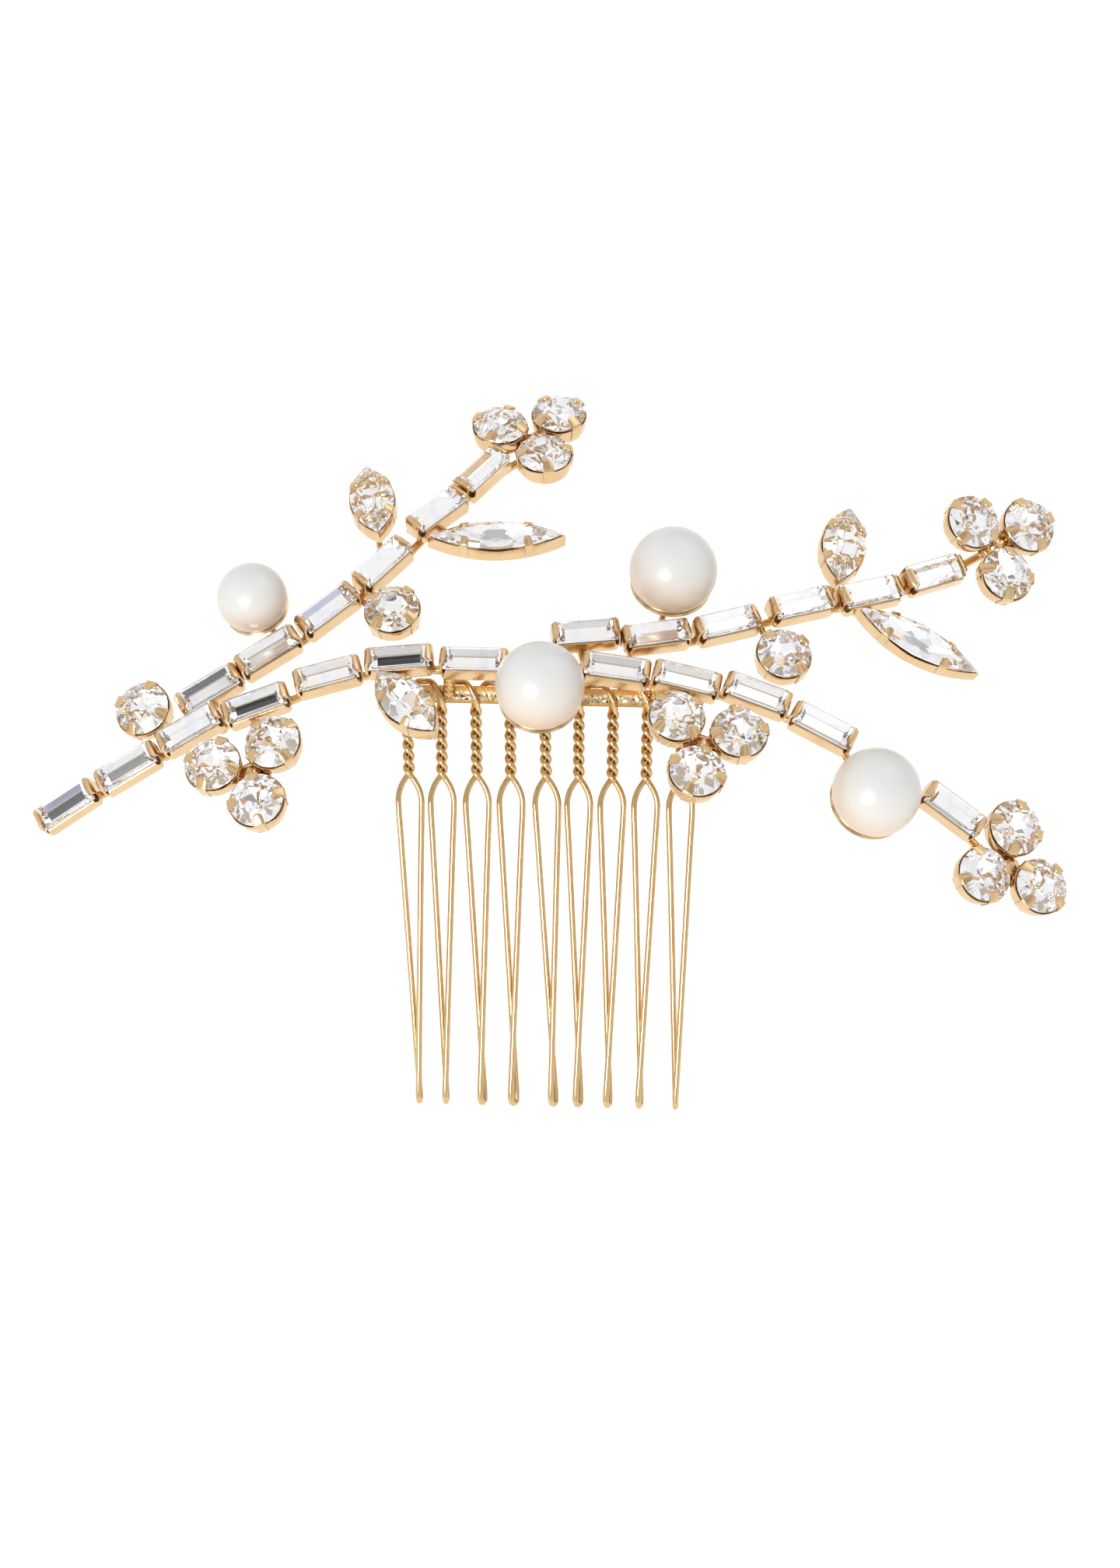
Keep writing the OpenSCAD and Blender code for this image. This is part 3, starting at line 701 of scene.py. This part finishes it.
# %% [markdown]
# ## Pearls in their dishes
#
# A pearl has no girdle for claws to hold. It is glued on a peg in a shallow dish
# whose thin rim shows as a gold line along its lower edge. The dish is a half
# profile spun round the pearl's axis. The right pearl sits in a clawed cup of
# the round-stone kind, and two of its claws peep out beside it.

# %% Pearls and dishes
DISH_T, DISH_STEPS = 0.3, 8
DISH_FOOT_R, DISH_START = 2.0, 0.42

def pearl_rise(diameter):
    return diameter / 2 + PLAY + FLOOR_T - CUP_H

def make_dish(diameter):
    middle, inner = pearl_rise(diameter), diameter / 2 + PLAY
    outer = inner + DISH_T
    rim = math.acos(0.26 * diameter / inner)
    profile = [(0, -CUP_H), (DISH_FOOT_R, -CUP_H), (DISH_FOOT_R + 0.05, 0.1 - CUP_H)]
    for i in range(DISH_STEPS + 1):
        a = DISH_START + (rim - DISH_START) * i / DISH_STEPS
        profile.append((outer * math.sin(a), middle - outer * math.cos(a)))
    for i in range(DISH_STEPS + 1):
        a = rim * (1 - i / DISH_STEPS)
        profile.append((inner * math.sin(a), middle - inner * math.cos(a)))
    bm = bmesh.new()
    verts = [bm.verts.new((r, 0, z)) for r, z in profile]
    edges = [bm.edges.new(pair) for pair in zip(verts, verts[1:])]
    bmesh.ops.spin(bm, geom=verts + edges, cent=(0, 0, 0), axis=(0, 0, 1), dvec=(0, 0, 0),
                   angle=2 * math.pi, steps=72, use_merge=True, use_duplicate=False)
    bmesh.ops.remove_doubles(bm, verts=bm.verts, dist=0.001)
    bmesh.ops.recalc_face_normals(bm, faces=bm.faces)
    return to_pattern(bm, "pearl dish")

pearl_claw = claw("pearl claw", 1.2, 0.9, 0.3, -0.9, 2.2, 0.3, 25, 0.35)

for name, ((x, z), diameter) in PEARLS.items():
    bm = bmesh.new()
    add_copy(bm, make_dish(diameter), place(x, z))
    if name == "pearl_right":
        for k in (0, 1):
            add_copy(bm, pearl_claw, place(x, z) @ turn("Z", math.pi / 2 * k)
                     @ shift(diameter / 2 + PLAY, 0, 0))
    finish(bm, name + "_cup_made", name + "_cup", [stamped_gold])
    bm = bmesh.new()
    bmesh.ops.create_icosphere(bm, subdivisions=6, radius=diameter / 2)
    # The height drives the pearl's painted shade and reflection: darker and warmer near the dish.
    height = bm.verts.layers.float.new("height over the dish")
    for v in bm.verts:
        v[height] = 0.5 + v.co.z / diameter
        v.co *= 0.998 + 0.0012 * noise.noise(v.co * 0.45)
    bmesh.ops.transform(bm, matrix=place(x, z) @ shift(0, 0, pearl_rise(diameter)),
                        verts=bm.verts)
    finish(bm, name + "_bead_made", name + "_bead", [pearl], 180)

# %% [markdown]
# ## Bending wire
#
# Wire is the one thing here that a curve models better than a mesh. A Bezier
# curve with automatic handles passes through a list of points as a smooth rod,
# and its bevel gives it a round section. Once it is bent it is turned into a
# mesh, so that it can be kept in one piece with its drops of solder.

# %% Wire tool
def add_wire(bm, points, radius, resolution):
    curve = bpy.data.curves.new("bent wire", "CURVE")
    curve.dimensions = "3D"
    curve.resolution_u = resolution
    curve.bevel_depth = radius
    curve.bevel_resolution = 3
    curve.use_fill_caps = True
    curve.twist_mode = "MINIMUM"
    spline = curve.splines.new("BEZIER")
    spline.bezier_points.add(len(points) - 1)
    for point, at in zip(spline.bezier_points, points):
        point.co = at
        point.handle_left_type = point.handle_right_type = "AUTO"
    rod = into_scene("bent wire", curve)
    bent = rod.evaluated_get(bpy.context.evaluated_depsgraph_get())
    mesh = bpy.data.meshes.new_from_object(bent)
    bm.from_mesh(mesh)
    bpy.data.meshes.remove(mesh)
    bpy.data.objects.remove(rod)
    bpy.data.curves.remove(curve)

# %% [markdown]
# ## Twisted teeth
#
# One long wire makes all nine teeth. It comes over the rail, winds three times
# round itself, opens into a narrow loop and comes back up the other side. The
# path of half a tooth is listed from the rail down to the tip, and the other
# half is the same path turned half a turn about the tooth's own axis. Then the
# whole tooth curves back, draws in and drifts to one side. Use has bent the nine
# tips a little differently, so each has its own drift and its own turn.

# %% Tooth path and teeth
TEETH, PITCH, WIRE_R = 9, 3.9, 0.35
RAIL_H, RAIL_T, REACH = 2.0, 0.8, 46.76
TWIST_TOP, TWIST_END, TURNS = -1.6, 9.4, 3
LOOP_HALF_W, BEND_R, SHOULDER_H = 1.32, 0.6, 3
TIP_DRIFTS = [1.55, 0.9, 1.4, 1.3, 2.15, 1.3, 1, 0.95, 1.4]
TIP_TURNS = [97, 97, 113, 124, 118, 120, 112, 106, 92]

def half_tooth(turned):
    wrap_z, wrap_y = RAIL_H / 2 + WIRE_R, RAIL_T / 2 + WIRE_R
    path = [(-PITCH / 2, 0, wrap_z + 0.05), (-1.55, -0.2, wrap_z + 0.07),
            (-1.15, -0.5, wrap_z - 0.01), (-0.82, -wrap_y + 0.02, RAIL_H / 2 + 0.05),
            (-0.5, -wrap_y - 0.06, 0.55), (-0.2, -wrap_y - 0.06, 0),
            (0.08, -wrap_y - 0.03, -0.55)]
    steps = 12 * TURNS
    for i in range(steps + 1):
        a = 2 * math.pi * TURNS * i / steps - math.pi / 4
        path.append(((WIRE_R + 0.01) * math.cos(a), (WIRE_R + 0.01) * math.sin(a),
                     TWIST_TOP - (TWIST_END + TWIST_TOP) * i / steps))
    for s in (0.15, 0.32, 0.55, 0.8, 1):
        path.append((0.25 + (LOOP_HALF_W - 0.25) * (1 - (1 - s) ** 2.2), -0.25 * (1 - s),
                     -TWIST_END - SHOULDER_H * s))
    foot_z = BEND_R - REACH + WIRE_R
    start = Vector((LOOP_HALF_W, 0, -TWIST_END - SHOULDER_H))
    end = Vector((BEND_R * math.cos(turned), -BEND_R * math.sin(turned), foot_z))
    path += [start.lerp(end, t) for t in (0.12, 0.3, 0.5, 0.7, 0.88, 1)]
    for a in (math.radians(30), math.radians(60)):
        out = BEND_R * math.cos(a)
        path.append((out * math.cos(turned), -out * math.sin(turned),
                     foot_z - BEND_R * math.sin(a)))
    return [Vector(p) for p in path]

def hang(p, x, drift):
    t = max(0, -p.z / REACH)
    return Vector((x * (1 - 0.06 * t) + p.x + drift * t, p.y + 4 * t * t, p.z))

for number in range(1, TEETH + 1):
    x = (number - (TEETH + 1) / 2) * PITCH
    down = half_tooth(math.radians(TIP_TURNS[number - 1]))
    up = [Vector((-p.x, -p.y, p.z)) for p in reversed(down)]
    whole = down + [Vector((0, 0, WIRE_R - REACH))] + up
    bm = bmesh.new()
    add_wire(bm, [hang(p, x, TIP_DRIFTS[number - 1]) for p in whole], WIRE_R, 3)
    finish(bm, f"tooth_{number}_made", f"tooth_{number}", [drawn_gold], 60)

# %% [markdown]
# ## The hammered rail
#
# The rail is a flat bar with round ends. Its front was beaten flat over the
# wire, which left it pitted between a smooth upper band and a smooth lower lip.
# The bar is a plate whose front is cut into small squares. A noise then pushes
# the squares of the middle band in.

# %% Rail
bm = bmesh.new()
bmesh.ops.create_grid(bm, x_segments=220, y_segments=14, size=0.5)
rail_l = TEETH * PITCH
straight = rail_l / 2 - RAIL_H / 2
bmesh.ops.scale(bm, vec=(rail_l, RAIL_H, 1), verts=bm.verts)
for v in bm.verts:
    if abs(v.co.x) > straight:
        room = math.sqrt(max(0, 1 - ((abs(v.co.x) - straight) / (RAIL_H / 2)) ** 2))
        v.co.y *= max(room, 0.02)
bmesh.ops.transform(bm, matrix=shift(0, -RAIL_T / 2, 0) @ turn("X", math.pi / 2), verts=bm.verts)
back = bmesh.ops.extrude_face_region(bm, geom=bm.faces[:])["geom"]
bmesh.ops.translate(bm, vec=(0, RAIL_T, 0), verts=only(VERT, back))
bmesh.ops.recalc_face_normals(bm, faces=bm.faces)
for v in bm.verts:
    if v.co.y < 0:
        across = v.co.z / (RAIL_H / 2)
        band = max(0, 1 - ((across + 0.25) / 0.55) ** 4)
        pits = noise.noise(v.co * 2.2) + 0.6 * noise.noise(v.co * 5.5)
        v.co.y += band * (0.06 + 0.11 * max(-0.4, pits)) + 0.03 * max(0, across) ** 6
finish(bm, "comb_rail_made", "comb_rail", [hammered_gold], 50)

# %% [markdown]
# ## Stems and solder
#
# Behind the stones run four stems of 1 mm wire, with thinner twigs to the
# clusters, leaves and pearls. Each joint is a drop of solder that has flowed out
# flat before it set. Nobody is meant to see them, but they are what holds the
# comb together and they fill the view from behind.

# %% Stems
STEM_R, TWIG_R = 0.5, 0.4
STEM_BACK = TRAY_H + STEM_R + 0.02
CUP_BACK = CUP_H + STEM_R + 0.02
PLATE_BACK = CUP_BACK + FLOOR_T

def line_of(spray):
    return [behind(x, z, STEM_BACK) for x, z, angle in SPRAYS[spray]]

def under(name, depth, dx=0.0, dz=0.0):
    known = {**CLUSTERS, **ROUNDS, **LEAVES, **LONG_LEAVES,
             **{pearl_name: at for pearl_name, (at, size) in PEARLS.items()}}
    x, z = known[name][:2]
    return behind(x + dx, z + dz, depth)

left_line, right_line = line_of("main_left"), line_of("main_right")
left_branch, right_branch = line_of("left_branch"), line_of("right_branch")
stem_meet = behind(0, 3.8, STEM_BACK + 0.3)
left_end, right_end = stem_meet - Vector((0.5, 0, 0)), stem_meet + Vector((0.55, 0, 0))
left_root, right_root = left_line[2].lerp(left_line[3], 0.4), right_end.lerp(right_line[0], 0.55)

STEMS = {
    "stem_main_left": (left_line + [left_end], [
        (left_line[1].lerp(left_line[2], 0.5), under("round_left", CUP_BACK)),
        (left_line[3], under("cluster_left", PLATE_BACK)),
        (left_line[5], under("navette_low", STEM_BACK))]),
    "stem_main_right": ([right_end] + right_line[:4] + [
        behind(34.5, -4.2, STEM_BACK), under("pearl_right", CUP_BACK),
        behind(43.6, -9.4, STEM_BACK), right_line[4], under("cluster_right", PLATE_BACK)], [
        (right_end, under("pearl_centre", CUP_BACK)),
        (right_line[1], under("cluster_middle", PLATE_BACK))]),
    "stem_left_branch": ([left_root.lerp(left_branch[0], 0.3)] + left_branch
                         + [under("cluster_top", PLATE_BACK)], [
        (left_branch[1].lerp(left_branch[2], 0.3), under("pearl_left", CUP_BACK)),
        (left_branch[2].lerp(left_branch[3], 0.5), under("round_upper", CUP_BACK)),
        (left_branch[3], under("navette_left", STEM_BACK)),
        (left_branch[4], under("navette_long_left", STEM_BACK, -4, 0))]),
    "stem_right_branch": ([right_root.lerp(right_branch[0], 0.35)] + right_branch
                          + [under("cluster_upper", PLATE_BACK)], [
        (right_branch[1], under("pearl_upper", CUP_BACK)),
        (right_branch[2].lerp(right_branch[3], 0.5), under("round_right", CUP_BACK)),
        (right_branch[3].lerp(right_branch[4], 0.5), under("navette_right", STEM_BACK)),
        (right_branch[4], under("navette_long_right", STEM_BACK, -3.5, 1.8))]),
}

for name, (path, twigs) in STEMS.items():
    bm = bmesh.new()
    add_wire(bm, path, STEM_R, 6)
    for number, (a, b) in enumerate(twigs):
        add_wire(bm, [a, a.lerp(b, 0.5), b], TWIG_R, 4)
        solder_bead(bm, Matrix.Translation(a), 0.62, 1, number)
        solder_bead(bm, Matrix.Translation(b), 0.6, 1, number + 9)
    for number, point in enumerate(path[1:-1]):
        solder_bead(bm, Matrix.Translation(point), 0.66, 1, number + 20)
    finish(bm, name + "_made", name, [solder_gold], 60)

# %% [markdown]
# ## Solder joints
#
# Two big drops of solder hold the ornament to the front of the rail, and two
# more fill the forks where the branches leave the main stem. A drop that has
# wetted two wires is thin in the middle and flared at both ends, so each joint
# is a chain of lumpy beads along the gap, fused by a voxel remesh.

# %% Joints on the rail and at the forks
VOXEL = 0.09

def fuse(bm, node):
    """Melts overlapping beads into one drop and hands it over as a finished piece."""
    lump = into_scene("drop", to_pattern(bm, "drop"))
    melt = lump.modifiers.new("melt", "REMESH")
    melt.mode, melt.voxel_size = "VOXEL", VOXEL
    flow = lump.modifiers.new("flow", "SMOOTH")
    flow.factor, flow.iterations = 0.6, 6
    solid = bmesh.new()
    solid.from_object(lump, bpy.context.evaluated_depsgraph_get())
    bpy.data.objects.remove(lump)
    finish(solid, node + "_made", node, [solder_gold], 180)

def joint(node, a, b, size_a, size_b, seed):
    bm = bmesh.new()
    for i in range(5):
        t = i / 4
        size = size_a + (size_b - size_a) * t - 0.12 * math.sin(math.pi * t)
        solder_bead(bm, Matrix.Translation(a.lerp(b, t)), size, 1, seed + i)
    fuse(bm, node)

def on_line(a, b, x):
    return a.lerp(b, (x - a.x) / (b.x - a.x))

for side, x, line, first, seed in (("left", -10.8, left_line, 5, 3),
                                   ("right", 12.6, right_line, 0, 11)):
    joint("solder_" + side, Vector((x, -0.75, 0.3)), on_line(line[first], line[first + 1], x),
          0.75, 0.8, seed)
joint("root_left", left_root, left_root.lerp(left_branch[0], 0.3), 0.75, 0.7, 19)
joint("root_right", right_root, right_root.lerp(right_branch[0], 0.35), 0.8, 0.75, 27)

# %% [markdown]
# ## The studio
#
# Jewellery is shown in a tent of soft light. Everything round the comb is white
# apart from a grey patch where the viewer stands and a few dark or tinted cards
# hung in the tent. A mirror in a white tent looks like paper, and the cards are
# what gives the flats of the stones something to reflect. The tent is a world
# whose colour depends on direction. Each card is a direction, a radius, the
# radius of its even core, all in degrees, and a colour. Light in a stone is
# handed from facet to facet many times before it comes out, so it is allowed
# more bounces than usual.

# %% Tent with its dark cards
world = bpy.data.worlds.new("light tent")
bpy.context.scene.world = world
world.use_nodes = True
tree = world.node_tree
tree.nodes.clear()
direction = add_node(tree, "ShaderNodeTexCoord", {}).outputs["Generated"]
CARDS = [("brown hoop", 0, 4, 40, 39, "#C2B49E"),
         ("its hole", 0, 4, 31.5, 30, "#FFFFFF"),
         ("white, below", 0, -30, 44, 40, "#FFFFFF"),
         ("viewer", 0, 0, 24, 10, "#C2C0BC"),
         ("black, low left", -41, 49, 5, 3.5, "#202224"),
         ("black, high left", -28, 64, 4.5, 3, "#181A1C"),
         ("grey, left", -51, 34, 4.5, 3, "#9CA09C"),
         ("dark grey, far left", -56, 27, 4.5, 3, "#707678"),
         ("lilac, below", -3, -41, 5, 3, "#B4B0CA"),
         ("dark grey, below", 10, -21, 4, 3, "#66686A"),
         ("lilac, right", 34, 1, 6, 4, "#C9C9DE"),
         ("brown, right", 50, -9, 4, 2.5, "#5E4A36"),
         ("gold, right", 66, 12, 10, 7, "#E2B878"),
         ("gold, left", -74, -4, 9, 6, "#E2B878")]

tent = "#FFFFFF"
for name, azimuth, height, radius, core, shade in CARDS:
    a, h = math.radians(azimuth), math.radians(height)
    aim = (math.sin(a) * math.cos(h), -math.cos(a) * math.cos(h), math.sin(h))
    facing = add_node(tree, "ShaderNodeVectorMath", {"operation": "DOT_PRODUCT", 1: aim},
                      {0: direction})
    share = add_node(tree, "ShaderNodeMapRange", {"interpolation_type": "SMOOTHSTEP",
                     "From Min": math.cos(math.radians(radius)),
                     "From Max": math.cos(math.radians(core))}, {"Value": facing.outputs["Value"]})
    tent = mix(tree, share.outputs["Result"], tent, shade)
    tent.node.label = name
light = add_node(tree, "ShaderNodeBackground", {"Strength": 0.96}, {"Color": tent})
add_node(tree, "ShaderNodeOutputWorld", {}, {"Surface": light.outputs["Background"]})

paths = bpy.context.scene.cycles
paths.max_bounces, paths.glossy_bounces, paths.transmission_bounces = 24, 16, 24

# %% [markdown]
# ## Lamps, floor and backdrop
#
# A soft box beside the viewer puts the highlight on the pearls, and a second one
# above lifts the tops of the stones. The floor runs up into the backdrop in one
# wide curve, so that no line shows where they meet. It is matt white card, lit
# a little from behind, as a photographer would do to keep it pale.

# %% Soft boxes, floor and backdrop
def soft_box(name, at, size, watts):
    """A round soft box that faces the middle of the comb."""
    lamp = bpy.data.lights.new(name, "AREA")
    lamp.shape, lamp.size, lamp.energy = "DISK", size, watts
    box = into_scene(name, lamp)
    box.location = at
    box.rotation_euler = (-Vector(at)).to_track_quat("-Z", "Y").to_euler()

soft_box("soft box by the viewer", (-0.24, -0.55, -0.15), 0.26, 1.9)
soft_box("soft box above", (0.3, -0.2, 0.5), 0.4, 0.25)

paper, tree, shader, where = start_material("matt white card", {
    "Specular IOR Level": 0.2, "Roughness": 0.9, "Emission Color": linear("#FFFFFF"),
    "Emission Strength": 0.3})
white = mix(tree, patchy(tree, where, 25, 2.0), "#FAFAF9", "#F6F6F5")
tree.links.new(white, shader.inputs["Base Color"])

bm = bmesh.new()
bmesh.ops.create_grid(bm, x_segments=1, y_segments=1, size=3)
bmesh.ops.scale(bm, vec=(1, 0.3, 1), verts=bm.verts)
bmesh.ops.translate(bm, vec=(0, 0.6, -0.3), verts=bm.verts)
far = [e for e in bm.edges if all(v.co.y > 1.4 for v in e.verts)]
swept = bmesh.ops.spin(bm, geom=far, cent=(0, 1.5, 1.2), axis=(1, 0, 0), dvec=(0, 0, 0),
                       angle=math.pi / 2, steps=32, use_merge=False, use_duplicate=False)
raised = bmesh.ops.extrude_edge_only(bm, edges=only(EDGE, swept["geom_last"]))["geom"]
bmesh.ops.translate(bm, vec=(0, 0, 3), verts=only(VERT, raised))
floor_mesh = to_pattern(bm, "floor and backdrop")
floor_mesh.shade_smooth()
floor_mesh.materials.append(paper)
floor = into_scene("floor_and_backdrop", floor_mesh)
bpy.context.scene.view_settings.view_transform = "Standard"

# %% [markdown]
# ## The camera
#
# The comb is seen straight on from the front, from half a metre away through a
# long lens, which keeps the far teeth as large as the near ones. It hangs very
# slightly crooked in the picture, so the camera is rolled by the same angle.

# %% Camera
lens = bpy.data.cameras.new("camera")
lens.sensor_fit, lens.sensor_width, lens.lens = "HORIZONTAL", 36, 141.9
lens.clip_start, lens.clip_end = 0.01, 20
camera = into_scene("camera", lens)
camera.matrix_world = (shift(0.002, -0.5, -0.00987) @ turn("X", math.pi / 2)
                       @ turn("Z", math.radians(1.4)))
bpy.context.scene.camera = camera
